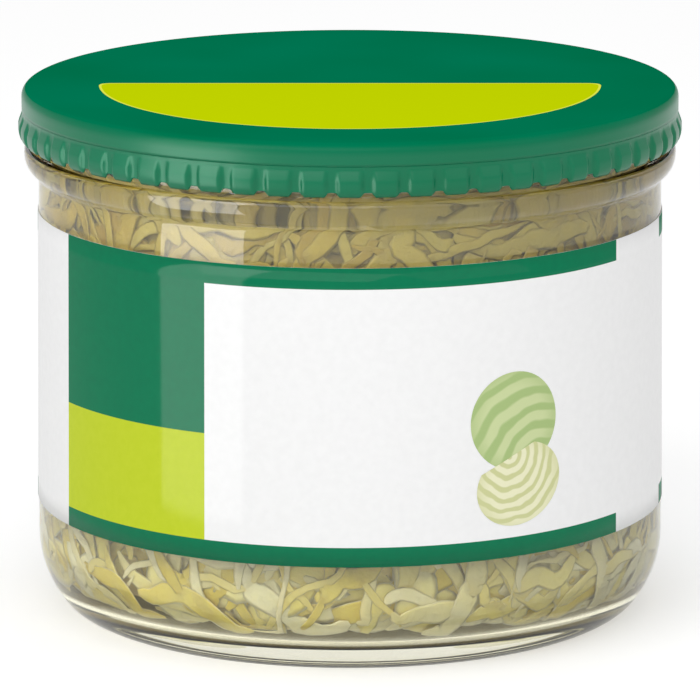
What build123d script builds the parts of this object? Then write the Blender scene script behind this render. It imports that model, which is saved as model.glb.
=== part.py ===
"""Glass jar of sauerkraut with a push-on metal lid and a paper wrap label.

Millimetres, +Z up. The origin is on the jar's axis, in the plane it stands on.
Nodes: jar, lid, label, sauerkraut.
"""

import os
from math import atan2, cos, degrees, radians, sin

from build123d import *

os.makedirs("parts", exist_ok=True)

# Jar, outside
foot_radius = 39.25  # outer edge of the flat standing ring
foot_width = 2.6
toe_radius = 5.7  # small arc from the standing ring
heel_radius = 15.7  # large arc that runs on into the wall
heel_turn = 36.6  # degrees that the large arc turns below the horizontal
wall_top = 65.3  # where the straight wall ends, under the bead
wall_top_radius = 46.4
cove_radius = 1.2  # hollow between wall and bead
bead_radius = 3.0  # round underside of the bead
bead_turn = 60  # degrees turned out by the cove and back by the bead
bead_edge = 0.9  # rounding on top of the bead
bead_top = 70.3
push_up_edge = 0.8  # step up inside the standing ring
push_up = 2.6  # height of the hollow under the base

# Jar, finish: the ring of glass that the lid grips
finish_neck_radius = 46.9
finish_radius = 48.1
finish_start = 72.2
finish_slope = 1.2
rim_top = 78.7
rim_outer_round = 1.0
rim_inner_round = 0.8

# Jar, inside
wall = 2.45
floor_edge_height = 4.4
floor_crown_height = 5.6
inner_heel_radius = 8.0

# Contents
fill_height = 75.6

# Lid
sheet = 0.3  # tinplate with its lacquer and sealing compound
lid_radius = 48.8
lid_corner = 1.4
lid_skirt_bend = 75.6  # the plain skirt ends here and the fluted edge begins
flute_bottom = 71.0
flute_count = 60
flute_crest_radius = 49.4
flute_valley_radius = 48.75
flute_crest_share = 0.6  # share of the pitch taken by a crest
notch_radius = 0.8  # rise of the edge between two flutes

# Label
label_bottom = 16.9
label_top = 60.6
paper = 0.12
lap_width = 8.0  # one end pasted over the other, at the back


def on_circle(centre, radius, angle):
    """Point on a circle in the profile plane, its angle in degrees up from the horizontal."""
    return (
        centre[0] + radius * cos(radians(angle)),
        centre[1] + radius * sin(radians(angle)),
    )


def shallow_dome(edge_radius, edge_height, crown_height):
    """Centre height and radius of the arc through a dome's edge and its crown on the axis."""
    rise = crown_height - edge_height
    radius = (edge_radius**2 + rise**2) / (2 * rise)
    return crown_height - radius, radius


# The outside is built up from the standing ring: toe arc, heel arc, leaning wall.
toe_centre = (foot_radius, toe_radius)
toe_end = on_circle(toe_centre, toe_radius, -heel_turn)
heel_centre = on_circle(toe_end, -heel_radius, -heel_turn)
wall_lean = degrees(
    atan2(heel_centre[0] + heel_radius - wall_top_radius, wall_top - heel_centre[1])
)
wall_start = on_circle(heel_centre, heel_radius, wall_lean)


def wall_point(height, depth=0.0):
    """Point on the leaning wall at a height, so far in from its outer face."""
    share = (height - wall_start[1]) / (wall_top - wall_start[1])
    radius = wall_start[0] + share * (wall_top_radius - wall_start[0])
    return (radius - depth, height)


def inside_profile(top):
    """Lines of the hollow's outline, from the axis over the floor and up the wall to a height."""
    heel_start = wall_point(floor_edge_height + inner_heel_radius, wall)
    floor_edge = heel_start[0] - inner_heel_radius
    dome_height, dome_radius = shallow_dome(
        floor_edge, floor_edge_height, floor_crown_height
    )
    dome_angle = degrees(atan2(floor_edge_height - dome_height, floor_edge))
    CenterArc((0, dome_height), dome_radius, 90, dome_angle - 90)
    CenterArc((floor_edge, heel_start[1]), inner_heel_radius, -90, 90)
    neck = wall_point(wall_top, wall)
    Line(heel_start, neck)
    return Line(neck, (neck[0], top))


with BuildPart() as jar:
    with BuildSketch(Plane.XZ):
        with BuildLine():
            # hollow, up to the rounded inner edge of the rim
            bore = inside_profile(rim_top - rim_inner_round)
            inner_edge = JernArc(bore @ 1, (0, 1), rim_inner_round, -90)
            # finish: rim, grip ring and the neck below it
            rim_edge = finish_radius - rim_outer_round
            rim = Line(inner_edge @ 1, (rim_edge, rim_top))
            outer_edge = JernArc(rim @ 1, (1, 0), rim_outer_round, -90)
            grip = Line(outer_edge @ 1, (finish_radius, finish_start + finish_slope))
            slope = Line(grip @ 1, (finish_neck_radius, finish_start))
            neck = Line(slope @ 1, (finish_neck_radius, bead_top))
            # bead and wall, drawn upwards from the heel
            body = Line(wall_start, (wall_top_radius, wall_top))
            cove = JernArc(body @ 1, body % 1, cove_radius, -bead_turn)
            bead = JernArc(cove @ 1, cove % 1, bead_radius, bead_turn - wall_lean)
            bead_side = Line(bead @ 1, ((bead @ 1).X, bead_top - bead_edge))
            bead_round = JernArc(bead_side @ 1, (0, 1), bead_edge, 90)
            Line(bead_round @ 1, neck @ 1)
            # heel, toe, standing ring and the hollow under the base
            CenterArc(heel_centre, heel_radius, wall_lean, -wall_lean - heel_turn)
            CenterArc(toe_centre, toe_radius, -heel_turn, heel_turn - 90)
            ring = Line((foot_radius, 0), (foot_radius - foot_width, 0))
            step = Line(ring @ 1, ring @ 1 + Vector(-push_up_edge, push_up_edge))
            dome_height, dome_radius = shallow_dome(
                (step @ 1).X, push_up_edge, push_up
            )
            dome_angle = degrees(atan2(push_up_edge - dome_height, (step @ 1).X))
            CenterArc((0, dome_height), dome_radius, dome_angle, 90 - dome_angle)
            Line((0, push_up), (0, floor_crown_height))
        make_face()
    revolve(axis=Axis.Z)
jar.part.label = "jar"
export_step(jar.part, "parts/jar.step")


with BuildPart() as sauerkraut:
    with BuildSketch(Plane.XZ):
        with BuildLine():
            side = inside_profile(fill_height)
            level = Line(side @ 1, (0, fill_height))
            Line(level @ 1, (0, floor_crown_height))
        make_face()
    revolve(axis=Axis.Z)
sauerkraut.part.label = "sauerkraut"
export_step(sauerkraut.part, "parts/sauerkraut.step")


def fluted_outline(crest_radius, valley_radius):
    """Closed outline with one bulging arc for each crest and one hollow arc for each valley."""
    pitch = 360 / flute_count
    middle_radius = (crest_radius + valley_radius) / 2
    half_crest = pitch * flute_crest_share / 2
    for index in range(flute_count):
        centre = index * pitch
        crest_start = on_circle((0, 0), middle_radius, centre - half_crest)
        crest_top = on_circle((0, 0), crest_radius, centre)
        crest_end = on_circle((0, 0), middle_radius, centre + half_crest)
        valley = on_circle((0, 0), valley_radius, centre + pitch / 2)
        next_start = on_circle((0, 0), middle_radius, centre + pitch - half_crest)
        ThreePointArc(crest_start, crest_top, crest_end)
        ThreePointArc(crest_end, valley, next_start)


with BuildPart() as lid:
    # crown and plain skirt
    with BuildSketch(Plane.XZ):
        with BuildLine():
            skirt = Line((lid_radius, lid_skirt_bend), (lid_radius, rim_top + sheet - lid_corner))
            corner = JernArc(skirt @ 1, (0, 1), lid_corner, 90)
            top = Line(corner @ 1, (0, rim_top + sheet))
            axis_side = Line(top @ 1, (0, rim_top))
            underside = Line(axis_side @ 1, (lid_radius - lid_corner, rim_top))
            inner_corner = JernArc(underside @ 1, (1, 0), lid_corner - sheet, -90)
            inside = Line(inner_corner @ 1, (lid_radius - sheet, lid_skirt_bend))
            Line(inside @ 1, skirt @ 0)
        make_face()
    revolve(axis=Axis.Z)
    # fluted edge
    with BuildSketch(Plane.XY.offset(flute_bottom)):
        with BuildLine():
            fluted_outline(flute_crest_radius, flute_valley_radius)
        make_face()
        with BuildLine():
            fluted_outline(flute_crest_radius - sheet, flute_valley_radius - sheet)
        make_face(mode=Mode.SUBTRACT)
    extrude(amount=lid_skirt_bend - flute_bottom)
    # ledge where the skirt bends out into the flutes
    with BuildSketch(Plane.XY.offset(lid_skirt_bend)):
        with BuildLine():
            fluted_outline(flute_crest_radius, flute_valley_radius)
        make_face()
        Circle(lid_radius - sheet, mode=Mode.SUBTRACT)
    extrude(amount=-sheet)
    # edge raised between the flutes
    with Locations((0, 0, flute_bottom)):
        with PolarLocations(flute_valley_radius, flute_count, 180 / flute_count):
            Cylinder(notch_radius, 4 * notch_radius, rotation=(0, 90, 0), mode=Mode.SUBTRACT)
lid.part.label = "lid"
export_step(lid.part, "parts/lid.step")


def paper_band(bottom, top, depth):
    """Outline of a strip of paper standing on the wall, its inner face so far in from the glass."""
    low, high = wall_point(bottom, depth), wall_point(top, depth)
    inner = Line(low, high)
    outer = Line((low[0] + paper, bottom), (high[0] + paper, top))
    Line(inner @ 0, outer @ 0)
    Line(inner @ 1, outer @ 1)


with BuildPart() as label:
    with BuildSketch(Plane.XZ):
        with BuildLine():
            paper_band(label_bottom, label_top, 0)
        make_face()
    revolve(axis=Axis.Z)
    # the end of the wrap, lapped over its start
    lap_angle = degrees(lap_width / wall_start[0])
    with BuildSketch(Plane.XZ.rotated((0, 0, 90))):
        with BuildLine():
            paper_band(label_bottom, label_top, -paper)
        make_face()
    revolve(axis=Axis.Z, revolution_arc=lap_angle)
label.part.label = "label"
export_step(label.part, "parts/label.step")
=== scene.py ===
"""Glass jar of sauerkraut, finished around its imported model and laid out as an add-on.

Lengths are written in millimetres and turned to metres where a mesh or a node needs them.
"""

import math

import bmesh
import bpy
from bpy.props import (FloatProperty, FloatVectorProperty, IntProperty, PointerProperty)
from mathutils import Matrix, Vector, noise


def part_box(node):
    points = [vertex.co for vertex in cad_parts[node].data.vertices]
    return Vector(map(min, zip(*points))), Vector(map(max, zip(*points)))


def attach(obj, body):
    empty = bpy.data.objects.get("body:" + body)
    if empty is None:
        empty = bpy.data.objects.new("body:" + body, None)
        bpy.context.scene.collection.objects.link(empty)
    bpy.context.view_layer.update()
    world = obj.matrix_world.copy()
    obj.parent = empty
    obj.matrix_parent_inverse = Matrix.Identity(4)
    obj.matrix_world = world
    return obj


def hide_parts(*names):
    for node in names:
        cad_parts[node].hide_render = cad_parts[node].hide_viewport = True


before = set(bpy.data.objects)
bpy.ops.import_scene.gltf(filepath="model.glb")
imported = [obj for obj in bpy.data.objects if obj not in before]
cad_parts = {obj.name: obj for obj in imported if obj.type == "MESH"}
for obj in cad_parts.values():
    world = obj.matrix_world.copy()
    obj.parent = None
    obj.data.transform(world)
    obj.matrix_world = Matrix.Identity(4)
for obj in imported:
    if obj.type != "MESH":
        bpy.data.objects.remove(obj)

bl_info = {
    "name": "Sauerkraut Jar",
    "version": (1, 0, 0),
    "blender": (4, 5, 0),
    "location": "3D View > Sidebar > Jar",
    "description": "Builds a glass jar of sauerkraut with a fluted metal lid and a wrap label",
    "category": "Object",
}

MM = 0.001
MATHS, VECTORS = "ShaderNodeMath", "ShaderNodeVectorMath"
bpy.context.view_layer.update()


def extent(node):
    """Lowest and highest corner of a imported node, in millimetres."""
    low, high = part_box(node)
    return low / MM, high / MM


JAR_HIGH = extent("jar")[1]
LID_LOW, LID_HIGH = extent("lid")
LABEL_LOW, LABEL_HIGH = extent("label")
FILL_HIGH = extent("sauerkraut")[1]

# Glass, outside
FOOT_RADIUS = 39.25
FOOT_WIDTH = 2.6
PUSH_UP = 2.6
PUSH_UP_EDGE = 0.8
TOE_RADIUS = 5.7
HEEL_RADIUS = 15.7
HEEL_TURN = 36.6
WALL_TOP = 65.3
WALL_TOP_RADIUS = 46.4
COVE_RADIUS = 1.2
BEAD_RADIUS = 3.0
BEAD_TURN = 60
BEAD_TOP = 70.3
BEAD_EDGE = 0.9
NECK_RADIUS = 46.9
GRIP_RADIUS = 48.1
GRIP_START = 72.2
RIM_ROUND = 1.0
RIM_INSIDE = 0.8

# Glass, inside
WALL = 2.45
FLOOR_CROWN = 5.6
FLOOR_EDGE = 4.4
INNER_HEEL = 8.0

# Label
PAPER = 0.12
UNDER_PAPER = 0.01

# Lid
SHEET = 0.3
SKIRT_RADIUS = 48.8
LID_CORNER = 1.4
SKIRT_BEND = 75.6


# ---- outlines


def on_circle(centre, radius, angle):
    """Point of a circle, its angle in degrees."""
    turn = math.radians(angle)
    return (centre[0] + radius * math.cos(turn), centre[1] + radius * math.sin(turn))


def round_axis(radius, turn, height):
    """Point at a radius from the axis, turned from the front, and at a height."""
    return (radius * math.sin(turn), -radius * math.cos(turn), height)


def arc(centre, radius, start, end, steps):
    """Points along an arc between two angles in degrees."""
    return [on_circle(centre, radius, start + (end - start) * i / steps) for i in range(steps + 1)]


def straight(start, end, steps):
    """Points along a straight line."""
    return [tuple(a + (b - a) * i / steps for a, b in zip(start, end)) for i in range(steps + 1)]


def without_doubles(points, gap=1e-4):
    """The same outline with each repeated point once."""
    kept = [points[0]]
    for point in points[1:]:
        if math.dist(point, kept[-1]) > gap:
            kept.append(point)
    return kept


TOE_CENTRE = (FOOT_RADIUS, TOE_RADIUS)
TOE_END = on_circle(TOE_CENTRE, TOE_RADIUS, -HEEL_TURN)
HEEL_CENTRE = on_circle(TOE_END, -HEEL_RADIUS, -HEEL_TURN)
LEAN = math.degrees(math.atan2(HEEL_CENTRE[0] + HEEL_RADIUS - WALL_TOP_RADIUS, WALL_TOP - HEEL_CENTRE[1]))
WALL_START = on_circle(HEEL_CENTRE, HEEL_RADIUS, LEAN)


def wall_radius(height):
    """Outside radius of the leaning glass wall."""
    share = (height - WALL_START[1]) / (WALL_TOP - WALL_START[1])
    return WALL_START[0] + share * (WALL_TOP_RADIUS - WALL_START[0])


def dome(edge, edge_height, crown, steps):
    """Points of a shallow dome, from its edge to its crown on the axis."""
    rise = crown - edge_height
    radius = (edge**2 + rise**2) / (2 * rise)
    centre = (0, crown - radius)
    start = math.degrees(math.atan2(edge_height - centre[1], edge))
    return arc(centre, radius, start, 90, steps)


def inside_outline(top, grow=0.0):
    """Outline of the hollow from the axis up the wall to a height, grown outwards into the glass."""
    start_height = FLOOR_EDGE + INNER_HEEL
    start_radius = wall_radius(start_height) - WALL
    heel = (start_radius - INNER_HEEL, start_height)
    points = dome(heel[0], FLOOR_EDGE - grow, FLOOR_CROWN - grow, 14)[::-1]
    points += arc(heel, INNER_HEEL + grow, -90, 0, 14)
    neck = (wall_radius(WALL_TOP) - WALL + grow, WALL_TOP)
    points += straight((start_radius + grow, start_height), neck, 20)
    points += straight(neck, (neck[0], top), 6)
    return without_doubles(points)


def outside_outline():
    """Outline of the glass from the axis under the base up to the rim."""
    ring_in = FOOT_RADIUS - FOOT_WIDTH
    points = dome(ring_in - PUSH_UP_EDGE, PUSH_UP_EDGE, PUSH_UP, 10)[::-1]
    points += straight((ring_in - PUSH_UP_EDGE, PUSH_UP_EDGE), (ring_in, 0), 4)
    points += straight((ring_in, 0), (FOOT_RADIUS, 0), 4)
    points += arc(TOE_CENTRE, TOE_RADIUS, -90, -HEEL_TURN, 10)
    points += arc(HEEL_CENTRE, HEEL_RADIUS, -HEEL_TURN, LEAN, 16)
    points += straight(WALL_START, (WALL_TOP_RADIUS, WALL_TOP), 24)
    cove = (WALL_TOP_RADIUS + COVE_RADIUS, WALL_TOP)
    points += arc(cove, COVE_RADIUS, 180, 180 - BEAD_TURN, 8)
    turned = points[-1]
    bead = on_circle(turned, -BEAD_RADIUS, -BEAD_TURN)
    points += arc(bead, BEAD_RADIUS, -BEAD_TURN, 0, 12)
    side = bead[0] + BEAD_RADIUS
    points += arc((side - BEAD_EDGE, BEAD_TOP - BEAD_EDGE), BEAD_EDGE, 0, 90, 8)
    points += straight((side - BEAD_EDGE, BEAD_TOP), (NECK_RADIUS, BEAD_TOP), 2)
    points += straight((NECK_RADIUS, BEAD_TOP), (NECK_RADIUS, GRIP_START), 2)
    points += straight((NECK_RADIUS, GRIP_START), (GRIP_RADIUS, GRIP_START + 1.2), 3)
    top = JAR_HIGH.z
    points += arc((GRIP_RADIUS - RIM_ROUND, top - RIM_ROUND), RIM_ROUND, 0, 90, 8)
    return without_doubles(points)


# ---- meshes


def new_piece(name, vertices, faces, material, smooth=True):
    """A mesh object whose vertices are given in millimetres in the frame."""
    mesh = bpy.data.meshes.new(name)
    mesh.from_pydata([Vector(v) * MM for v in vertices], [], faces)
    mesh.materials.append(material)
    mesh.polygons.foreach_set("use_smooth", [smooth] * len(mesh.polygons))
    mesh.update()
    piece = bpy.data.objects.new(name, mesh)
    bpy.context.scene.collection.objects.link(piece)
    return piece


def spun(name, outline, segments, material, closed=False, uneven=None):
    """Turns an outline of radius and height round the axis; a point on the axis becomes a pole."""
    vertices, rings = [], []
    for radius, height in outline:
        if radius < 1e-3:
            rings.append([len(vertices)])
            vertices.append((0, 0, height))
            continue
        rings.append(list(range(len(vertices), len(vertices) + segments)))
        for i in range(segments):
            turn = 2 * math.pi * i / segments
            r = radius + (uneven(radius, turn, height) if uneven else 0)
            vertices.append(round_axis(r, turn, height))
    faces = []
    pairs = list(zip(rings, rings[1:] + ([rings[0]] if closed else [])))
    for low, high in pairs[: len(rings) if closed else len(rings) - 1]:
        for i in range(segments):
            j = (i + 1) % segments
            if len(low) == 1:
                faces.append((low[0], high[j], high[i]))
            elif len(high) == 1:
                faces.append((low[i], low[j], high[0]))
            else:
                faces.append((low[i], low[j], high[j], high[i]))
    piece = new_piece(name, vertices, faces, material)
    facing_out(piece)
    return piece


def facing_out(piece):
    """Recalculates the normals of a closed mesh so that they point outwards."""
    mesh = bmesh.new()
    mesh.from_mesh(piece.data)
    bmesh.ops.recalc_face_normals(mesh, faces=mesh.faces)
    mesh.to_mesh(piece.data)
    mesh.free()


def plain_mesh(piece):
    """Turns a piece with a live node modifier into the mesh that the modifier makes."""
    evaluated = piece.evaluated_get(bpy.context.evaluated_depsgraph_get())
    mesh = bpy.data.meshes.new_from_object(evaluated)
    piece.modifiers.clear()
    piece.data = mesh


def aim(thing, target, way, distance):
    """Places a lamp or camera at a distance from the target, looking back at it."""
    thing.location = target + way * distance
    thing.rotation_euler = way.to_track_quat("Z", "Y").to_euler()
    bpy.context.scene.collection.objects.link(thing)


def finish_piece(piece, slot, *nodes):
    """Hands a finished piece to the frame: its body and the nodes it stands for, which it hides. The slot
    is not used.
    """
    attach(piece, "root")
    if nodes:
        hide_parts(*nodes)


# ---- nodes


def linear(hex_colour):
    """Linear colour of an sRGB hex value such as "#007a55"."""
    channels = [int(hex_colour[i : i + 2], 16) / 255 for i in (1, 3, 5)]
    return tuple(c / 12.92 if c <= 0.04045 else ((c + 0.055) / 1.055) ** 2.4 for c in channels) + (1.0,)


def output(node):
    """A node's main output: some nodes have one for each kind of data, and one of them enabled."""
    return next(s for s in node.outputs if s.enabled)


def add(tree, kind, inputs=None, **settings):
    """Adds a node with its settings, and feeds its inputs from values, nodes or sockets.

    Inputs go by identifier, name or number, or by their order in a list. The setting "stops"
    holds places and hex colours along a colour ramp.
    """
    node = tree.nodes.new(kind)
    for name, value in settings.items():
        if name != "stops":
            setattr(node, name, value)
            continue
        elements = node.color_ramp.elements
        while len(elements) < len(value):
            elements.new(0.5)
        for element, (place, colour) in zip(elements, value):
            element.position, element.color = place, linear(colour)
    pairs = enumerate(inputs) if isinstance(inputs, list) else (inputs or {}).items()
    for key, value in pairs:
        named = [s for s in node.inputs if s.identifier == key]
        socket = named[0] if named else node.inputs[key]
        if isinstance(value, bpy.types.Node):
            tree.links.new(output(value), socket)
        elif isinstance(value, bpy.types.NodeSocket):
            tree.links.new(value, socket)
        else:
            socket.default_value = value
    return node


def new_material(name):
    """An empty node material and its tree."""
    material = bpy.data.materials.new(name)
    material.use_nodes = True
    material.node_tree.nodes.clear()
    return material, material.node_tree


def surface(tree, shader):
    """Ends a material with this shader."""
    add(tree, "ShaderNodeOutputMaterial", {"Surface": shader})


def seen_through(tree, path):
    """Whether a ray comes from the camera, straight or through glass."""
    rays = [path.outputs["Is Camera Ray"], path.outputs["Is Transmission Ray"]]
    return add(tree, MATHS, rays, operation="MAXIMUM")


def clear_material(name, ior, tint):
    """Clear stuff that bends what is behind it and lets lamps through to what it holds."""
    material, tree = new_material(name)
    glass = add(tree, "ShaderNodeBsdfGlass", {"Color": linear(tint), "Roughness": 0.0, "IOR": ior})
    through = add(tree, "ShaderNodeBsdfTransparent", {"Color": linear(tint)})
    path = add(tree, "ShaderNodeLightPath")
    mix = add(tree, "ShaderNodeMixShader", {"Fac": path.outputs["Is Shadow Ray"], 1: glass, 2: through})
    surface(tree, mix)
    return material


def flint_glass(settings):
    # Flint glass, blown and fire-polished: clear, with bright bent edges at heel and bead.
    return clear_material("flint_glass", settings.ior, "#ffffff")


def kraut_brine(settings):
    # Cloudy brine: a faint yellow between the strips.
    return clear_material("kraut_brine", settings.ior, "#fcfaea")


def cut_cabbage():
    # Fermented white cabbage, cut and pressed: pale, wet and translucent, with a painted highlight along
    # the strips' edges and painted shade darker towards the top.
    material, tree = new_material("cut_cabbage")
    here = add(tree, "ShaderNodeTexCoord").outputs["Object"]
    tone = add(tree, "ShaderNodeAttribute", attribute_name="tone")
    across = add(tree, "ShaderNodeAttribute", attribute_name="across")
    cloud = add(tree, "ShaderNodeTexNoise", {"Vector": here, "Scale": 1 / (6 * MM), "Detail": 3.0})
    blend = add(
        tree, MATHS, [cloud.outputs["Fac"], 0.5, tone.outputs["Fac"]],
        operation="MULTIPLY_ADD",
    )
    shifted = add(tree, MATHS, [blend, 0.25], operation="SUBTRACT")
    body = add(
        tree, "ShaderNodeValToRGB", {"Fac": shifted},
        stops=[(0.0, "#e4cc58"), (0.3, "#f7e686"), (0.6, "#fbefa8"), (0.9, "#fdf7d0")],
    )
    # painted highlight: each strip turns lighter along its edges, where light catches it behind the glass
    edge = add(
        tree, "ShaderNodeMapRange",
        {
            "Value": across.outputs["Fac"], "From Min": 0.86, "From Max": 0.98, "To Min": 0.0,
            "To Max": 0.75,
        },
        interpolation_type="SMOOTHSTEP",
    )
    colour = add(
        tree, "ShaderNodeMix", {"Factor_Float": edge, "A_Color": body, "B_Color": linear("#f4f0d6")},
        data_type="RGBA",
    )
    # painted shade: the strips darken towards the top, where the lid shades them
    height = add(tree, "ShaderNodeSeparateXYZ", {"Vector": here})
    high = add(
        tree, "ShaderNodeMapRange",
        {"Value": height.outputs["Z"], "From Min": 25 * MM, "From Max": 55 * MM},
    )
    colour = add(
        tree, "ShaderNodeMix", {"Factor_Float": high, "A_Color": colour, "B_Color": linear("#c0b266")},
        data_type="RGBA", blend_type="MULTIPLY",
    )
    crinkle = add(tree, "ShaderNodeTexNoise", {"Vector": here, "Scale": 1 / (1.1 * MM), "Detail": 4.0})
    bump = add(tree, "ShaderNodeBump", {"Strength": 0.6, "Distance": 0.4 * MM, "Height": crinkle})
    shader = add(
        tree, "ShaderNodeBsdfPrincipled",
        {
            "Base Color": colour, "Normal": bump, "Roughness": 0.35, "Subsurface Weight": 0.35,
            "Subsurface Radius": (1.0, 0.8, 0.4), "Subsurface Scale": 2.0 * MM,
        },
    )
    surface(tree, shader)
    return material


def packed_cabbage():
    # The mass behind the outer strips: cream low down, olive and amber towards the top, for the deep brine
    # there and painted shade under the lid.
    material, tree = new_material("packed_cabbage")
    here = add(tree, "ShaderNodeTexCoord").outputs["Object"]
    patches = add(tree, "ShaderNodeTexNoise", {"Vector": here, "Scale": 1 / (9 * MM), "Detail": 2.0})
    height = add(tree, "ShaderNodeSeparateXYZ", {"Vector": here})
    # painted shade together with the deep brine's colour: olive and amber towards the top under the lid,
    # cream lower down
    low = add(
        tree, "ShaderNodeMapRange",
        {
            "Value": height.outputs["Z"], "From Min": 22 * MM, "From Max": 50 * MM, "To Min": 0.0,
            "To Max": 1.0,
        },
    )
    deep = add(
        tree, "ShaderNodeValToRGB", {"Fac": patches},
        stops=[(0.35, "#8a7312"), (0.48, "#9a8c1c"), (0.6, "#a89d4a"), (0.7, "#b5ab66")],
    )
    full = add(
        tree, "ShaderNodeValToRGB", {"Fac": patches},
        stops=[(0.3, "#d0b04a"), (0.42, "#ddca78"), (0.58, "#e6d68c"), (0.7, "#ecdfae")],
    )
    colour = add(
        tree, "ShaderNodeMix", {"Factor_Float": low, "A_Color": full, "B_Color": deep},
        data_type="RGBA",
    )
    shader = add(tree, "ShaderNodeBsdfPrincipled", {"Base Color": colour, "Roughness": 0.5})
    surface(tree, shader)
    return material


def green_lacquer(settings):
    # Printed lacquer on tinplate: even, semi-gloss green with a yellow-green half disc on top.
    material, tree = new_material("green_lacquer")
    here = add(tree, "ShaderNodeTexCoord").outputs["Object"]
    place = add(tree, "ShaderNodeSeparateXYZ", {"Vector": here})
    flat = add(tree, "ShaderNodeCombineXYZ", {"X": place.outputs["X"], "Y": place.outputs["Y"]})
    reach = add(tree, VECTORS, [flat], operation="LENGTH")
    ring = add(
        tree, MATHS, [reach.outputs["Value"], settings.disc_radius], operation="SUBTRACT",
    )
    inside = add(
        tree, MATHS, [ring, place.outputs["Y"], settings.disc_corner],
        operation="SMOOTH_MAX",
    )
    top = add(
        tree, MATHS, [place.outputs["Z"], (LID_HIGH.z - 0.2) * MM], operation="GREATER_THAN",
    )
    disc = add(tree, MATHS, [inside, 0.0], operation="LESS_THAN")
    field = add(tree, MATHS, [inside, -settings.disc_line], operation="LESS_THAN")
    printed = add(tree, MATHS, [disc, top], operation="MULTIPLY")
    fill = add(
        tree, "ShaderNodeMix",
        {"Factor_Float": field, "A_Color": linear("#e2e94e"), "B_Color": (*settings.disc_colour, 1)},
        data_type="RGBA",
    )
    cloud = add(tree, "ShaderNodeTexNoise", {"Vector": here, "Scale": 1 / (25 * MM), "Detail": 1.0})
    green = add(tree, "ShaderNodeValToRGB", {"Fac": cloud}, stops=[(0.3, "#00714b"), (0.7, "#007753")])
    colour = add(
        tree, "ShaderNodeMix", {"Factor_Float": printed, "A_Color": green, "B_Color": fill},
        data_type="RGBA",
    )
    # lacquer's orange peel, drawn at 0.6 mm
    peel = add(tree, "ShaderNodeTexNoise", {"Vector": here, "Scale": 1 / (0.6 * MM), "Detail": 1.0})
    bump = add(tree, "ShaderNodeBump", {"Strength": 0.03, "Distance": 0.05 * MM, "Height": peel})
    # the flat top stays matt, so that its ink keeps its depth at a low angle
    gloss = add(
        tree, "ShaderNodeMapRange",
        {
            "Value": place.outputs["Z"], "From Min": (LID_HIGH.z - 2) * MM,
            "From Max": (LID_HIGH.z - 0.3) * MM, "To Min": 0.28, "To Max": 0.0,
        },
    )
    shader = add(
        tree, "ShaderNodeBsdfPrincipled",
        {"Base Color": colour, "Roughness": 0.3, "Specular IOR Level": gloss, "Normal": bump},
    )
    surface(tree, shader)
    return material


def sealing_compound():
    # Soft sealing compound inside the lid: pinkish cream, matt, seen between the flutes.
    material, tree = new_material("sealing_compound")
    here = add(tree, "ShaderNodeTexCoord").outputs["Object"]
    cloud = add(tree, "ShaderNodeTexNoise", {"Vector": here, "Scale": 1 / (3 * MM)})
    colour = add(
        tree, "ShaderNodeValToRGB", {"Fac": cloud}, stops=[(0.35, "#c29b86"), (0.65, "#d8c8b8")],
    )
    shader = add(tree, "ShaderNodeBsdfPrincipled", {"Base Color": colour, "Roughness": 0.6})
    surface(tree, shader)
    return material


def printed_paper(name, colour, shade):
    # Coated paper under varnish: flat ink with a faint mottle and a smooth sheen.
    material, tree = new_material(name)
    here = add(tree, "ShaderNodeTexCoord").outputs["Object"]
    mottle = add(tree, "ShaderNodeTexNoise", {"Vector": here, "Scale": 1 / (1.2 * MM), "Detail": 2.0})
    ink = add(tree, "ShaderNodeValToRGB", {"Fac": mottle}, stops=[(0.3, shade), (0.7, colour)])
    bump = add(tree, "ShaderNodeBump", {"Strength": 0.05, "Distance": 0.03 * MM, "Height": mottle})
    shader = add(
        tree, "ShaderNodeBsdfPrincipled",
        {
            "Base Color": ink, "Roughness": 0.5, "Specular IOR Level": 0.0, "Coat Weight": 0.28,
            "Coat Roughness": 0.08, "Coat IOR": 1.5, "Normal": bump,
        },
    )
    surface(tree, shader)
    return material


def printed_cabbage(name, light, dark, layer, radius, centre):
    # Picture of a cabbage in print: pale layers drawn as rings, darker towards the outline.
    material, tree = new_material(name)
    here = add(tree, "ShaderNodeTexCoord").outputs["UV"]
    moved = add(tree, VECTORS, [here, Vector((*centre, 0)) * MM], operation="SUBTRACT")
    rings = add(
        tree, "ShaderNodeTexWave",
        {"Vector": moved, "Scale": 0.31 / (layer * MM), "Distortion": 4.0, "Detail": 2.0},
        wave_type="RINGS", rings_direction="SPHERICAL",
    )
    ink = add(tree, "ShaderNodeValToRGB", {"Fac": rings}, stops=[(0.25, dark), (0.6, light)])
    away = add(tree, VECTORS, [here], operation="LENGTH")
    rim = add(
        tree, "ShaderNodeMapRange",
        {
            "Value": away.outputs["Value"], "From Min": 0.6 * radius * MM, "From Max": radius * MM,
            "To Min": 0.0, "To Max": 0.6,
        },
        interpolation_type="SMOOTHSTEP",
    )
    colour = add(
        tree, "ShaderNodeMix", {"Factor_Float": rim, "A_Color": ink, "B_Color": linear(dark)},
        data_type="RGBA",
    )
    shader = add(
        tree, "ShaderNodeBsdfPrincipled",
        {"Base Color": colour, "Roughness": 0.5, "Specular IOR Level": 0.0},
    )
    surface(tree, shader)
    return material


def new_tree(name, sockets):
    """A geometry node group with a geometry input, named inputs and a geometry output."""
    tree = bpy.data.node_groups.new(name, "GeometryNodeTree")
    tree.interface.new_socket("Geometry", in_out="INPUT", socket_type="NodeSocketGeometry")
    tree.interface.new_socket("Geometry", in_out="OUTPUT", socket_type="NodeSocketGeometry")
    for label, kind in sockets:
        tree.interface.new_socket(label, in_out="INPUT", socket_type=kind)
    return tree, add(tree, "NodeGroupInput"), add(tree, "NodeGroupOutput")


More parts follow.
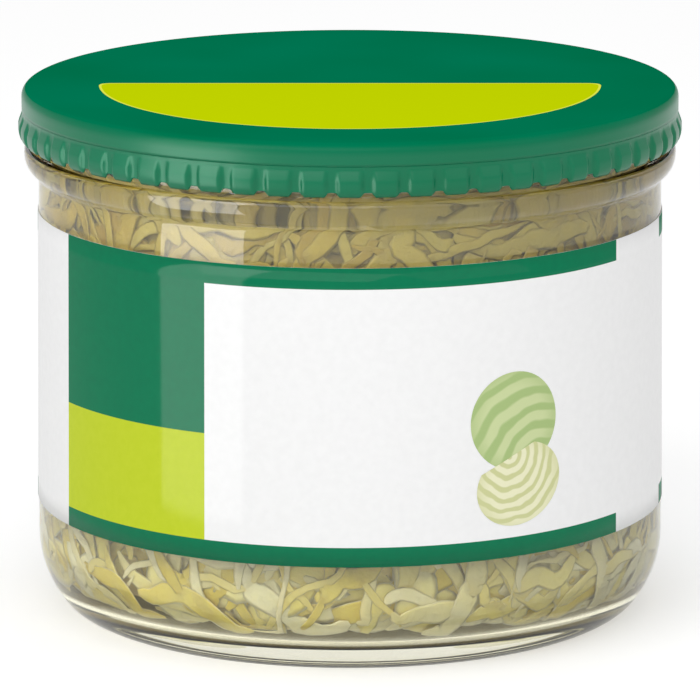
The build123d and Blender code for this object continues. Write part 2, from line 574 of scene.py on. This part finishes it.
def run_tree(piece, tree, values):
    """Puts a node group on a piece, sets its inputs by identifier and keeps the mesh it makes."""
    modifier = piece.modifiers.new(tree.name, "NODES")
    modifier.node_group = tree
    for item in tree.interface.items_tree:
        if item.in_out == "INPUT" and item.name in values:
            modifier[item.identifier] = values[item.name]
    plain_mesh(piece)


def ring_tree():
    """Repeats one sector round the axis."""
    tree, start, end = new_tree(
        "sector_ring", [("Count", "NodeSocketInt"), ("Material", "NodeSocketMaterial")],
    )
    points = add(tree, "GeometryNodePoints", {"Count": start.outputs["Count"]})
    index = add(tree, "GeometryNodeInputIndex")
    pitch = add(tree, MATHS, [2 * math.pi, start.outputs["Count"]], operation="DIVIDE")
    turn = add(tree, MATHS, [index, pitch], operation="MULTIPLY")
    rotation = add(tree, "ShaderNodeCombineXYZ", {"Z": turn})
    placed = add(
        tree, "GeometryNodeInstanceOnPoints",
        {"Points": points, "Instance": start.outputs["Geometry"], "Rotation": rotation},
    )
    real = add(tree, "GeometryNodeRealizeInstances", {"Geometry": placed})
    merged = add(tree, "GeometryNodeMergeByDistance", {"Geometry": real, "Distance": 0.01 * MM})
    painted = add(
        tree, "GeometryNodeSetMaterial", {"Geometry": merged, "Material": start.outputs["Material"]},
    )
    tree.links.new(output(painted), end.inputs["Geometry"])
    return tree


def shred_tree():
    """Strips of cabbage pressed flat behind the glass.

    Each strip starts on a flat sheet, X round the jar, Y up it and Z in from the wall. It is
    bent there by noise and then wrapped on the wall and the inner heel.
    """
    lengths = (
        "Bottom", "Top", "Nearest", "Deepest", "Shortest", "Longest", "Narrowest", "Widest", "Slope",
        "Wall Radius", "Heel Radius", "Heel Height",
    )
    sockets = [("Count", "NodeSocketInt"), ("Seed", "NodeSocketInt")]
    sockets += [(name, "NodeSocketFloat") for name in lengths]
    sockets += [("Material", "NodeSocketMaterial")]
    tree, start, end = new_tree("pressed_strips", sockets)
    given = start.outputs

    girth = add(tree, MATHS, [given["Wall Radius"], math.pi], operation="MULTIPLY")
    back = add(tree, MATHS, [girth, -1.0], operation="MULTIPLY")
    slope = add(tree, MATHS, [given["Slope"], -1.0], operation="MULTIPLY")
    # what is drawn at random for each strip; the order gives each its own seed
    ranges = {
        "around": (back, girth),
        "up": (given["Bottom"], given["Top"]),
        "deep": (given["Nearest"], given["Deepest"]),
        "tone": (0.0, 1.0),
        "half_width": (given["Narrowest"], given["Widest"]),
        "bow": (-1.0, 1.0),
        "phase": (0.0, 50.0),
        "turn": (slope, given["Slope"]),
        "length": (given["Shortest"], given["Longest"]),
    }
    drawn = {}
    for salt, (name, (low, high)) in enumerate(ranges.items(), 1):
        seed = add(tree, MATHS, [given["Seed"], salt], operation="ADD")
        drawn[name] = add(
            tree, "FunctionNodeRandomValue", {"Min_001": low, "Max_001": high, "Seed": seed},
            data_type="FLOAT",
        )
    place = add(
        tree, "ShaderNodeCombineXYZ", {"X": drawn["around"], "Y": drawn["up"], "Z": drawn["deep"]},
    )
    points = add(tree, "GeometryNodePoints", {"Count": given["Count"], "Position": place})
    kept = {}    # each strip's own values, read back where the strip is shaped
    for name in ("tone", "half_width", "bow", "phase"):
        points = add(
            tree, "GeometryNodeStoreNamedAttribute",
            {"Geometry": points, "Name": name, "Value": drawn[name]}, data_type="FLOAT", domain="POINT",
        )
        kept[name] = add(tree, "GeometryNodeInputNamedAttribute", {"Name": name}, data_type="FLOAT")
    line = add(tree, "GeometryNodeCurvePrimitiveLine", {"Start": (-0.5, 0, 0), "End": (0.5, 0, 0)})
    line = add(tree, "GeometryNodeResampleCurve", {"Curve": line, "Count": 15}, mode="COUNT")
    line = add(
        tree, "GeometryNodeStoreNamedAttribute",
        {
            "Geometry": line, "Name": "along",
            "Value": add(tree, "GeometryNodeSplineParameter").outputs["Factor"],
        },
        data_type="FLOAT", domain="POINT",
    )
    turned = add(tree, "ShaderNodeCombineXYZ", {"Z": drawn["turn"]})
    size = add(tree, "ShaderNodeCombineXYZ", {"X": drawn["length"], "Y": 1.0, "Z": 1.0})
    strips = add(
        tree, "GeometryNodeInstanceOnPoints",
        {"Points": points, "Instance": line, "Rotation": turned, "Scale": size},
    )
    strips = add(tree, "GeometryNodeRealizeInstances", {"Geometry": strips})

    along = add(tree, "GeometryNodeInputNamedAttribute", {"Name": "along"}, data_type="FLOAT")

    # bend on the flat sheet: one bow and a wave in the sheet, a smaller one in and out of it
    position = add(tree, "GeometryNodeInputPosition")
    apart = add(tree, "ShaderNodeCombineXYZ", {"Z": kept["phase"]})
    drift = add(tree, VECTORS, [position, apart], operation="ADD")
    wave = add(tree, "ShaderNodeTexNoise", {"Vector": drift, "Scale": 1 / (11 * MM), "Detail": 1.0})
    centred = [wave.outputs["Color"], (0.5, 0.5, 0.5)]
    sway = add(tree, VECTORS, centred, operation="SUBTRACT")
    sway = add(tree, VECTORS, [sway, Vector((9, 14, 2)) * MM], operation="MULTIPLY")
    middle = add(tree, MATHS, [along, 0.5], operation="SUBTRACT")
    bow = add(tree, MATHS, [middle, middle], operation="MULTIPLY")
    bow = add(tree, MATHS, [bow, kept["bow"]], operation="MULTIPLY")
    bow = add(tree, MATHS, [bow, 22 * MM], operation="MULTIPLY")
    bowed = add(tree, "ShaderNodeCombineXYZ", {"Y": bow})
    shift = add(tree, VECTORS, [sway, bowed], operation="ADD")
    strips = add(tree, "GeometryNodeSetPosition", {"Geometry": strips, "Offset": shift})

    def heel_at(level):
        """How far a level lies below the heel's centre, and how far out the heel reaches there."""
        below = add(tree, MATHS, [given["Heel Height"], level], operation="SUBTRACT")
        below = add(tree, MATHS, [below, 0.0], operation="MAXIMUM")
        square = add(tree, MATHS, [heel, heel], operation="MULTIPLY")
        low = add(tree, MATHS, [below, below], operation="MULTIPLY")
        rest = add(tree, MATHS, [square, low], operation="SUBTRACT")
        rest = add(tree, MATHS, [rest, 0.0], operation="MAXIMUM")
        return below, add(tree, MATHS, [rest], operation="SQRT")

    # wrap on the wall, which turns in below the start of the inner heel
    wall, heel = given["Wall Radius"], given["Heel Radius"]
    flat = add(tree, "ShaderNodeSeparateXYZ", {"Vector": position}).outputs
    height = add(tree, MATHS, [flat["Y"], given["Bottom"]], operation="MAXIMUM")
    height = add(tree, MATHS, [height, given["Top"]], operation="MINIMUM")
    below, reach = heel_at(height)
    depth = add(tree, MATHS, [flat["Z"], given["Nearest"]], operation="MAXIMUM")
    share = add(tree, MATHS, [depth, heel], operation="DIVIDE")
    left = add(tree, MATHS, [1.0, share], operation="SUBTRACT")
    reach = add(tree, MATHS, [reach, left], operation="MULTIPLY")
    axis = add(tree, MATHS, [wall, heel], operation="SUBTRACT")
    radius = add(tree, MATHS, [axis, reach], operation="ADD")
    raised = add(tree, MATHS, [below, share], operation="MULTIPLY")
    height = add(tree, MATHS, [height, raised], operation="ADD")
    angle = add(tree, MATHS, [flat["X"], wall], operation="DIVIDE")
    sine = add(tree, MATHS, [angle], operation="SINE")
    cosine = add(tree, MATHS, [angle], operation="COSINE")
    cosine = add(tree, MATHS, [cosine, -1.0], operation="MULTIPLY")
    outward = add(tree, "ShaderNodeCombineXYZ", {"X": sine, "Y": cosine})
    out = add(tree, VECTORS, {0: outward, "Scale": radius}, operation="SCALE")
    up = add(tree, "ShaderNodeCombineXYZ", {"Z": height})
    wrapped = add(tree, VECTORS, [out, up], operation="ADD")
    strips = add(tree, "GeometryNodeSetPosition", {"Geometry": strips, "Position": wrapped})

    # face the glass: straight out at the wall, turned down on the heel
    level = add(tree, "ShaderNodeSeparateXYZ", {"Vector": position}).outputs["Z"]
    below, reach = heel_at(level)
    side = add(tree, VECTORS, [position, (1.0, 1.0, 0.0)], operation="MULTIPLY")
    side = add(tree, VECTORS, [side], operation="NORMALIZE")
    side = add(tree, VECTORS, {0: side, "Scale": reach}, operation="SCALE")
    below = add(tree, MATHS, [below, -1.0], operation="MULTIPLY")
    down = add(tree, "ShaderNodeCombineXYZ", {"Z": below})
    facing = add(tree, VECTORS, [side, down], operation="ADD")
    strips = add(tree, "GeometryNodeSetCurveNormal", {"Curve": strips, "Normal": facing}, mode="FREE")

    # width: full in the middle, narrow at the ends, uneven along the strip
    ends = add(tree, MATHS, [along, math.pi], operation="MULTIPLY")
    ends = add(tree, MATHS, [ends], operation="SINE")
    ends = add(tree, MATHS, [ends, 0.02], operation="MAXIMUM")
    ends = add(tree, MATHS, [ends, 0.35], operation="POWER")
    moved = add(tree, VECTORS, [position, apart], operation="ADD")
    ragged = add(tree, "ShaderNodeTexNoise", {"Vector": moved, "Scale": 1 / (5 * MM), "Detail": 1.0})
    uneven = add(tree, MATHS, [ragged.outputs["Fac"], 1.3], operation="MULTIPLY")
    uneven = add(tree, MATHS, [uneven, 0.35], operation="ADD")
    width = add(tree, MATHS, [kept["half_width"], ends], operation="MULTIPLY")
    width = add(tree, MATHS, [width, uneven], operation="MULTIPLY")
    section = add(
        tree, "GeometryNodeCurvePrimitiveCircle", {"Resolution": 8, "Radius": 1.0}, mode="RADIUS",
    )
    # how far across the strip a point lies; the cabbage material paints a highlight along the edges from it
    section_point = add(tree, "ShaderNodeSeparateXYZ", {"Vector": position}).outputs["Y"]
    across = add(tree, MATHS, [section_point], operation="ABSOLUTE")
    section = add(
        tree, "GeometryNodeStoreNamedAttribute",
        {"Geometry": section, "Name": "across", "Value": across}, data_type="FLOAT", domain="POINT",
    )
    section = add(tree, "GeometryNodeTransform", {"Geometry": section, "Scale": (0.1, 1.0, 1.0)})
    strips = add(
        tree, "GeometryNodeCurveToMesh",
        {"Curve": strips, "Profile Curve": section, "Scale": width, "Fill Caps": True},
    )
    strips = add(tree, "GeometryNodeSetShadeSmooth", {"Geometry": strips, "Shade Smooth": True})
    strips = add(tree, "GeometryNodeRealizeInstances", {"Geometry": strips})
    strips = add(tree, "GeometryNodeSetMaterial", {"Geometry": strips, "Material": given["Material"]})
    tree.links.new(output(strips), end.inputs["Geometry"])
    return tree


# ---- settings


class GlassSettings(bpy.types.PropertyGroup):
    """Sizes and finish of the glass."""

    segments: IntProperty(name="Segments", description="Faces round the jar", default=224, min=32)
    ior: FloatProperty(name="Refractive Index", description="Flint glass", default=1.5, min=1.0)
    waviness: FloatProperty(
        name="Waviness", description="Unevenness of the inner wall, in millimetres", default=0.10, min=0.0,
    )


class LidSettings(bpy.types.PropertyGroup):
    """Sizes and print of the lid."""

    flutes: IntProperty(name="Flutes", description="Flutes round the edge", default=60, min=8)
    disc_radius: FloatProperty(
        name="Disc Radius", description="Radius of the printed half disc", default=37.3 * MM, unit="LENGTH",
    )
    disc_corner: FloatProperty(
        name="Disc Corner", description="Rounding where the half disc's arc meets its straight side",
        default=3.0 * MM, unit="LENGTH",
    )
    disc_line: FloatProperty(
        name="Disc Line", description="Width of the light line round the half disc", default=0.35 * MM,
        unit="LENGTH",
    )
    disc_colour: FloatVectorProperty(
        name="Disc Colour", description="Yellow-green of the half disc", subtype="COLOR", size=3,
        default=linear("#c2d400")[:3],
    )


class LabelSettings(bpy.types.PropertyGroup):
    """Printed fields of the label: angles round the jar and heights in millimetres."""

    left: FloatProperty(name="Left", description="Left edge of the front", default=-61.8)
    divide: FloatProperty(name="Divide", description="Between the green and the white field", default=-26.5)
    right: FloatProperty(name="Right", description="Right edge of the front", default=56.1)
    side_left: FloatProperty(
        name="Side Left", description="Left edge of the left side panel", default=-84.5
    )
    side_right: FloatProperty(
        name="Side Right", description="Right edge of the right side panel", default=78.8
    )
    low_band: FloatProperty(name="Low Band", description="Top of the lower green band", default=19.8)
    high_band: FloatProperty(name="High Band", description="Bottom of the upper green band", default=57.5)
    lime_top: FloatProperty(name="Lime Top", description="Top of the yellow-green field", default=35.5)


class ContentsSettings(bpy.types.PropertyGroup):
    """Strips of cabbage and their brine."""

    strips: IntProperty(name="Strips", description="Strips in each layer", default=740, min=10)
    seed: IntProperty(name="Seed", description="Another arrangement", default=7)
    ior: FloatProperty(name="Refractive Index", description="Salt brine", default=1.35, min=1.0)


class StageSettings(bpy.types.PropertyGroup):
    """Camera and light."""

    distance: FloatProperty(name="Distance", description="Camera to target", default=0.9, unit="LENGTH")
    elevation: FloatProperty(
        name="Elevation", description="Camera above the horizon", default=math.radians(12.63),
        subtype="ANGLE",
    )
    target: FloatProperty(name="Target", description="Height looked at", default=38.34 * MM, unit="LENGTH")
    lens: FloatProperty(name="Lens", description="Focal length", default=308.3)
    sky: FloatProperty(name="Sky", description="Light from all round", default=0.7)


# ---- pieces


class JarOperator:
    """What every operator of this add-on has."""

    bl_options = {"REGISTER", "UNDO"}


class JAR_OT_glass(JarOperator, bpy.types.Operator):
    """Make the glass jar from its outline, with a slightly uneven inner wall"""

    bl_idname = "kraut_jar.glass"
    bl_label = "Glass"

    def execute(self, context):
        settings = context.scene.jar_glass
        turn_in = JAR_HIGH.z - RIM_INSIDE
        inner = inside_outline(turn_in)
        rim = arc((inner[-1][0] + RIM_INSIDE, turn_in), RIM_INSIDE, 180, 90, 6)
        outline = without_doubles(outside_outline() + (inner + rim)[::-1])

        def uneven(radius, turn, height):
            """The mould leaves the outside true; blowing leaves the inside a little wavy."""
            outer = height < FLOOR_EDGE or radius > wall_radius(height) - 0.8 * WALL
            if outer or height > WALL_TOP or radius < 30:
                return 0.0
            place = Vector((math.sin(turn), math.cos(turn), height / 20)) * 1.4
            return settings.waviness * noise.noise(place)

        glass = spun("jar_glass", outline, settings.segments, flint_glass(settings), uneven=uneven)
        finish_piece(glass, "glass", "jar")
        return {"FINISHED"}


def flute_profiles():
    """Outlines of the lid's edge over a crest and over a valley, from the bend down and back up inside."""
    bottom = LID_LOW.z + 0.15
    crest_radius = LID_HIGH.x - 0.06
    crest = [
        (SKIRT_RADIUS, SKIRT_BEND),
        (SKIRT_RADIUS - 0.06, SKIRT_BEND - 0.35),
        (SKIRT_RADIUS - 0.02, SKIRT_BEND - 0.55),
        (SKIRT_RADIUS + 0.06, SKIRT_BEND - 0.75),
        (crest_radius - 0.08, SKIRT_BEND - 1.85),
        (crest_radius - 0.02, SKIRT_BEND - 2.1),
        (crest_radius, SKIRT_BEND - 2.5),
        (crest_radius, SKIRT_BEND - 2.9),
        (crest_radius - 0.08, bottom + 1.1),
        (crest_radius - 0.24, bottom + 0.6),
        (crest_radius - 0.5, bottom + 0.22),
        (crest_radius - 0.74, bottom + 0.04),
        (crest_radius - 0.92, bottom + 0.02),
        (crest_radius - 1.0, bottom + 0.25),
        (SKIRT_RADIUS - SHEET, bottom + 1.6),
        (SKIRT_RADIUS - SHEET, SKIRT_BEND),
    ]
    rise = 0.75
    valley_radius = SKIRT_RADIUS - 0.08
    drop = SKIRT_BEND - bottom - rise
    shares = (0, 0.08, 0.15, 0.19, 0.42, 0.52, 0.6, 0.68, 0.78, 0.88, 0.96, 1.0)
    valley = [
        (valley_radius + (0.08 if share == 0 else 0.0), SKIRT_BEND - drop * share)
        for share in shares
    ]
    valley += [
        (valley_radius - 0.18, bottom + rise),
        (valley_radius - SHEET, bottom + rise + 0.2),
        (SKIRT_RADIUS - SHEET, bottom + 1.9),
        (SKIRT_RADIUS - SHEET, SKIRT_BEND),
    ]
    return crest, valley


class JAR_OT_lid(JarOperator, bpy.types.Operator):
    """Make the stamped lid: crown, fluted edge repeated round it, and the sealing ring inside"""

    bl_idname = "kraut_jar.lid"
    bl_label = "Lid"

    def execute(self, context):
        settings = context.scene.jar_lid
        lacquer = green_lacquer(settings)
        top, corner = LID_HIGH.z, LID_CORNER
        flat_radius = SKIRT_RADIUS - corner
        outline = straight((0, top), (flat_radius, top), 12)
        outline += arc((flat_radius, top - corner), corner, 90, 0, 12)
        outline += straight((SKIRT_RADIUS, top - corner), (SKIRT_RADIUS, SKIRT_BEND), 4)
        inner = SKIRT_RADIUS - SHEET
        outline += [(inner, SKIRT_BEND), (inner, top - corner)]
        outline += arc((flat_radius, top - corner), corner - SHEET, 0, 90, 6)
        outline += [(0, top - SHEET)]
        crown = spun("lid_crown", without_doubles(outline), 240, lacquer)
        finish_piece(crown, "lacquered_tinplate", "lid")

        crest, valley = flute_profiles()
        columns = 18
        pitch = 2 * math.pi / settings.flutes
        vertices, faces = [], []
        for column in range(columns + 1):
            share = column / columns - 0.5
            edge = min(max((0.41 - abs(share)) / 0.13, 0), 1)
            raised = edge * edge * (3 - 2 * edge)
            turn = share * pitch
            for (cr, ch), (vr, vh) in zip(crest, valley):
                radius = vr + (cr - vr) * raised
                height = vh + (ch - vh) * raised
                vertices.append(round_axis(radius, turn, height))
        rows = len(crest)
        for column in range(columns):
            for row in range(rows - 1):
                a = column * rows + row
                faces.append((a, a + 1, a + rows + 1, a + rows))
        flutes = new_piece("lid_flutes", vertices, faces, lacquer)
        run_tree(flutes, ring_tree(), {"Count": settings.flutes, "Material": lacquer})
        facing_out(flutes)
        finish_piece(flutes, "lacquered_tinplate")

        seal_outline = [(47.3, 74.2), (47.3, 72.6), (47.6, 72.0), (48.1, 71.75)]
        seal_outline += [(48.35, 71.9), (48.42, 72.4), (48.42, 74.2)]
        seal = spun("lid_seal", seal_outline, 180, sealing_compound(), closed=True)
        finish_piece(seal, "lacquered_tinplate")
        return {"FINISHED"}


def on_label(angle, height, lift=0.0):
    """Point on the label's face at an angle from the front, in degrees, and a height."""
    return round_axis(wall_radius(height) + PAPER + lift, math.radians(angle), height)


def picture_patch(name, angle, height, reach, lift, material):
    """A small round or cut shape printed on the label; reach gives its edge by direction."""
    rings, spokes = 8, 64
    flat = [(0.0, 0.0)]
    for ring in range(1, rings + 1):
        for spoke in range(spokes):
            turn = 2 * math.pi * spoke / spokes
            out = reach(turn) * ring / rings
            flat.append((out * math.cos(turn), out * math.sin(turn)))
    around = wall_radius(height)
    vertices = [on_label(angle + math.degrees(u / around), height + v, lift) for u, v in flat]
    faces = [(0, 1 + i, 1 + (i + 1) % spokes) for i in range(spokes)]
    for ring in range(rings - 1):
        for i in range(spokes):
            a, j = 1 + ring * spokes, (i + 1) % spokes
            faces.append((a + i, a + spokes + i, a + spokes + j, a + j))
    patch = new_piece(name, vertices, faces, material)
    layer = patch.data.uv_layers.new(name="UVMap")
    for loop in patch.data.loops:
        layer.data[loop.index].uv = [c * MM for c in flat[loop.vertex_index]]
    return patch


class JAR_OT_label(JarOperator, bpy.types.Operator):
    """Wrap the label with its printed fields and the lap at the back"""

    bl_idname = "kraut_jar.label"
    bl_label = "Label"

    def execute(self, context):
        settings = context.scene.jar_label
        green = printed_paper("green_ink_on_coated_paper", "#007a52", "#007650")
        lime = printed_paper("lime_ink_on_coated_paper", "#c6d62b", "#c2d326")
        white = printed_paper("white_coated_paper", "#f8f8f8", "#f5f5f5")
        bottom, top = LABEL_LOW.z, LABEL_HIGH.z
        turns = [settings.side_left, settings.left, settings.divide, settings.right]
        turns += [settings.side_right, settings.side_left + 360]
        heights = [bottom, settings.low_band, settings.lime_top, settings.high_band, top]
        step = 1.5

        def field(angle, height):
            """Which ink lies here: 0 white, 1 green, 2 lime."""
            front = settings.left < angle < settings.right
            side = settings.side_left < angle < settings.left
            side = side or settings.right < angle < settings.side_right
            if side:
                return 0
            if height < settings.low_band or height > settings.high_band:
                return 1
            if front and angle < settings.divide:
                return 2 if height < settings.lime_top else 1
            return 0

        columns = []
        for low, high in zip(turns, turns[1:]):
            parts = max(1, round((high - low) / step))
            columns += [low + (high - low) * i / parts for i in range(parts)]
        vertices, faces, inks = [], [], []
        lap_start, lap_end = 180.0, 190.0
        for layer in (PAPER, UNDER_PAPER):
            for angle in columns:
                lapped = lap_start <= angle % 360 <= lap_end
                for height in heights:
                    radius = wall_radius(height) + layer
                    if layer == PAPER and lapped:
                        radius += PAPER - UNDER_PAPER
                    vertices.append(round_axis(radius, math.radians(angle), height))
        count, rows = len(columns), len(heights)
        inner = count * rows
        for i in range(count):
            j = (i + 1) % count
            wide = (columns[j] - columns[i]) % 360
            for row in range(rows - 1):
                a, b = i * rows + row, j * rows + row
                faces.append((a, b, b + 1, a + 1))
                middle = columns[i] + wide / 2
                if middle > settings.side_left + 360:
                    middle -= 360
                inks.append(field(middle, (heights[row] + heights[row + 1]) / 2))
                faces.append((inner + a + 1, inner + b + 1, inner + b, inner + a))
                inks.append(0)
            for row, flip in ((0, True), (rows - 1, False)):
                a, b = i * rows + row, j * rows + row
                edge = (a, b, inner + b, inner + a)
                faces.append(edge[::-1] if flip else edge)
                inks.append(0)
        label = new_piece("label_paper", vertices, faces, white)
        label.data.materials.append(green)
        label.data.materials.append(lime)
        label.data.polygons.foreach_set("material_index", inks)
        facing_out(label)
        finish_piece(label, "label_paper", "label")

        def cut_half(turn):
            """Edge of a half head lying on its side, its cut face to the front."""
            ellipse = 7.2 * 5.9 / math.hypot(5.9 * math.cos(turn - 0.35), 7.2 * math.sin(turn - 0.35))
            chord = math.cos(turn - 2.0)
            return min(ellipse, 4.4 / chord) if chord > 0.05 else ellipse

        head = printed_cabbage("printed_head", "#d0dca6", "#aec585", 2.6, 7.6, (5, -9))
        cut = printed_cabbage("printed_cut_half", "#f1f0cc", "#d3d69f", 1.5, 7.6, (-1.8, 4))
        shapes = (
            ("label_cabbage_head", 30.5, 37.0, lambda turn: 7.2, 0.02, head),
            ("label_cabbage_half", 31.5, 27.6, cut_half, 0.04, cut),
        )
        for name, angle, height, reach, lift, material in shapes:
            patch = picture_patch(name, angle, height, reach, lift, material)
            finish_piece(patch, "label_paper")
        return {"FINISHED"}


class JAR_OT_contents(JarOperator, bpy.types.Operator):
    """Fill the jar: packed mass, pressed strips in two layers, and the brine round them"""

    bl_idname = "kraut_jar.contents"
    bl_label = "Contents"

    def execute(self, context):
        settings = context.scene.jar_contents
        fill = FILL_HIGH.z

        def lumpy(radius, turn, height):
            """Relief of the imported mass."""
            place = Vector((radius * math.sin(turn), radius * math.cos(turn), height))
            return 1.1 * noise.fractal(place / 7, 0.8, 2.0, 3)

        level = fill - 0.6
        outline = inside_outline(level, grow=-3.2) + [(20.0, level), (0, level)]
        core = spun("kraut_core", outline, 160, packed_cabbage(), uneven=lumpy)
        finish_piece(core, "sauerkraut", "sauerkraut")

        tree = shred_tree()
        cabbage = cut_cabbage()
        common = {
            "Wall Radius": (wall_radius(WALL_TOP) - WALL) * MM,
            "Heel Radius": INNER_HEEL * MM,
            "Heel Height": (FLOOR_EDGE + INNER_HEEL) * MM,
            "Material": cabbage,
        }
        # seed, depth behind the wall, length and half width of the strips, each from and to
        layers = {
            "kraut_strips_deep": (1, 1.3, 3.2, 14, 38, 1.0, 3.6),
            "kraut_strips_near": (2, 0.6, 1.3, 8, 26, 0.35, 1.9),
        }
        for name, (salt, near, deep, short, long, thin, wide) in layers.items():
            strips = new_piece(name, [(0, 0, 0)], [], cabbage)
            values = {
                "Count": settings.strips,
                "Seed": settings.seed * 10 + salt * 1000,
                "Bottom": (FLOOR_EDGE + 1.0) * MM,
                "Top": (fill - 4.4) * MM,
                "Nearest": near * MM,
                "Deepest": deep * MM,
                "Shortest": short * MM,
                "Longest": long * MM,
                "Narrowest": thin * MM,
                "Widest": wide * MM,
                "Slope": 1.5,
                **common,
            }
            run_tree(strips, tree, values)
            finish_piece(strips, "sauerkraut")

        outline = inside_outline(fill, grow=0.15) + [(0, fill)]
        brine = spun("kraut_brine", outline, 160, kraut_brine(settings))
        finish_piece(brine, "sauerkraut")
        return {"FINISHED"}


class JAR_OT_stage(JarOperator, bpy.types.Operator):
    """Set the floor, the light and the camera"""

    bl_idname = "kraut_jar.stage"
    bl_label = "Stage"

    def execute(self, context):
        settings = context.scene.jar_stage
        scene = context.scene
        scene.view_settings.view_transform = "Standard"
        self.make_floor()
        self.make_world(settings)
        target = Vector((0, 0, settings.target))
        # name, azimuth and elevation in degrees, distance, width and height in metres, radiance,
        # and whether it lights matt surfaces too
        lamps = (
            ("key_softbox", -24, 42, 0.8, 0.9, 0.5, 1.75, True),
            ("fill_softbox", 48, 35, 0.85, 0.6, 0.6, 0.55, True),
            ("strip_light", -47, 6, 0.135, 0.07, 0.26, 4.5, False),
        )
        for name, azimuth, elevation, distance, width, height, radiance, diffuse in lamps:
            light = bpy.data.lights.new(name, "AREA")
            light.shape = "RECTANGLE"
            light.size, light.size_y = width, height
            light.energy = radiance * math.pi * width * height
            lamp = bpy.data.objects.new(name, light)
            a, e = math.radians(azimuth), math.radians(elevation)
            way = Vector((math.sin(a) * math.cos(e), -math.cos(a) * math.cos(e), math.sin(e)))
            aim(lamp, target, way, distance)
            lamp.visible_camera = False
            lamp.visible_diffuse = diffuse
            lamp.visible_transmission = diffuse
        camera = bpy.data.objects.new("camera", bpy.data.cameras.new("camera"))
        e = settings.elevation
        aim(camera, target, Vector((0, -math.cos(e), math.sin(e))), settings.distance)
        camera.data.lens = settings.lens
        camera.data.clip_end = 20
        scene.camera = camera
        return {"FINISHED"}

    def make_floor(self):
        """Pale floor that keeps the jar's shadow and reads as white round it."""
        material, tree = new_material("pale_floor")
        matt = add(tree, "ShaderNodeBsdfDiffuse", {"Color": linear("#e8e8e8")})
        glow = add(tree, "ShaderNodeEmission", {"Strength": 0.35})
        dark = add(tree, "ShaderNodeEmission", {"Strength": 0.0})
        path = add(tree, "ShaderNodeLightPath")
        seen = seen_through(tree, path)
        seen = add(tree, MATHS, [seen, path.outputs["Is Glossy Ray"]], operation="MAXIMUM")
        lift = add(tree, "ShaderNodeMixShader", {"Fac": seen, 1: dark, 2: glow})
        both = add(tree, "ShaderNodeAddShader", [matt, lift])
        surface(tree, both)
        half = 4000    # millimetres, as in every mesh here
        corners = [(-half, -half, 0), (half, -half, 0), (half, half, 0), (-half, half, 0)]
        floor = new_piece("floor", corners, [(0, 1, 2, 3)], material, smooth=False)

    def make_world(self, settings):
        """Even light from all round, seen as white."""
        world = bpy.data.worlds.new("studio")
        bpy.context.scene.world = world
        world.use_nodes = True
        tree = world.node_tree
        tree.nodes.clear()
        path = add(tree, "ShaderNodeLightPath")
        seen = seen_through(tree, path)
        strength = add(
            tree, "ShaderNodeMix", {"Factor_Float": seen, "A_Float": settings.sky, "B_Float": 1.0},
            data_type="FLOAT",
        )
        light = add(tree, "ShaderNodeBackground", {"Color": (1, 1, 1, 1), "Strength": strength})
        add(tree, "ShaderNodeOutputWorld", {"Surface": light})


# ---- add-on


class JAR_PT_panel(bpy.types.Panel):
    """Lists the jar's pieces in the sidebar."""

    bl_idname = "JAR_PT_panel"
    bl_label = "Sauerkraut Jar"
    bl_space_type = "VIEW_3D"
    bl_region_type = "UI"
    bl_category = "Jar"

    def draw(self, context):
        for operator in OPERATORS:
            self.layout.operator(operator.bl_idname)


SETTINGS = {
    "jar_glass": GlassSettings,
    "jar_lid": LidSettings,
    "jar_label": LabelSettings,
    "jar_contents": ContentsSettings,
    "jar_stage": StageSettings,
}
OPERATORS = (JAR_OT_glass, JAR_OT_lid, JAR_OT_label, JAR_OT_contents, JAR_OT_stage)


def register():
    """Registers every class and gives the scene its settings."""
    for group in (*SETTINGS.values(), *OPERATORS, JAR_PT_panel):
        bpy.utils.register_class(group)
    for name, group in SETTINGS.items():
        setattr(bpy.types.Scene, name, PointerProperty(type=group))


def unregister():
    """Removes the settings and every class."""
    for name in SETTINGS:
        delattr(bpy.types.Scene, name)
    for group in (JAR_PT_panel, *reversed(OPERATORS), *SETTINGS.values()):
        bpy.utils.unregister_class(group)


def main():
    """Builds every piece and the stage."""
    register()
    for operator in OPERATORS:
        group, name = operator.bl_idname.split(".")
        getattr(getattr(bpy.ops, group), name)()


if __name__ == "__main__":
    main()
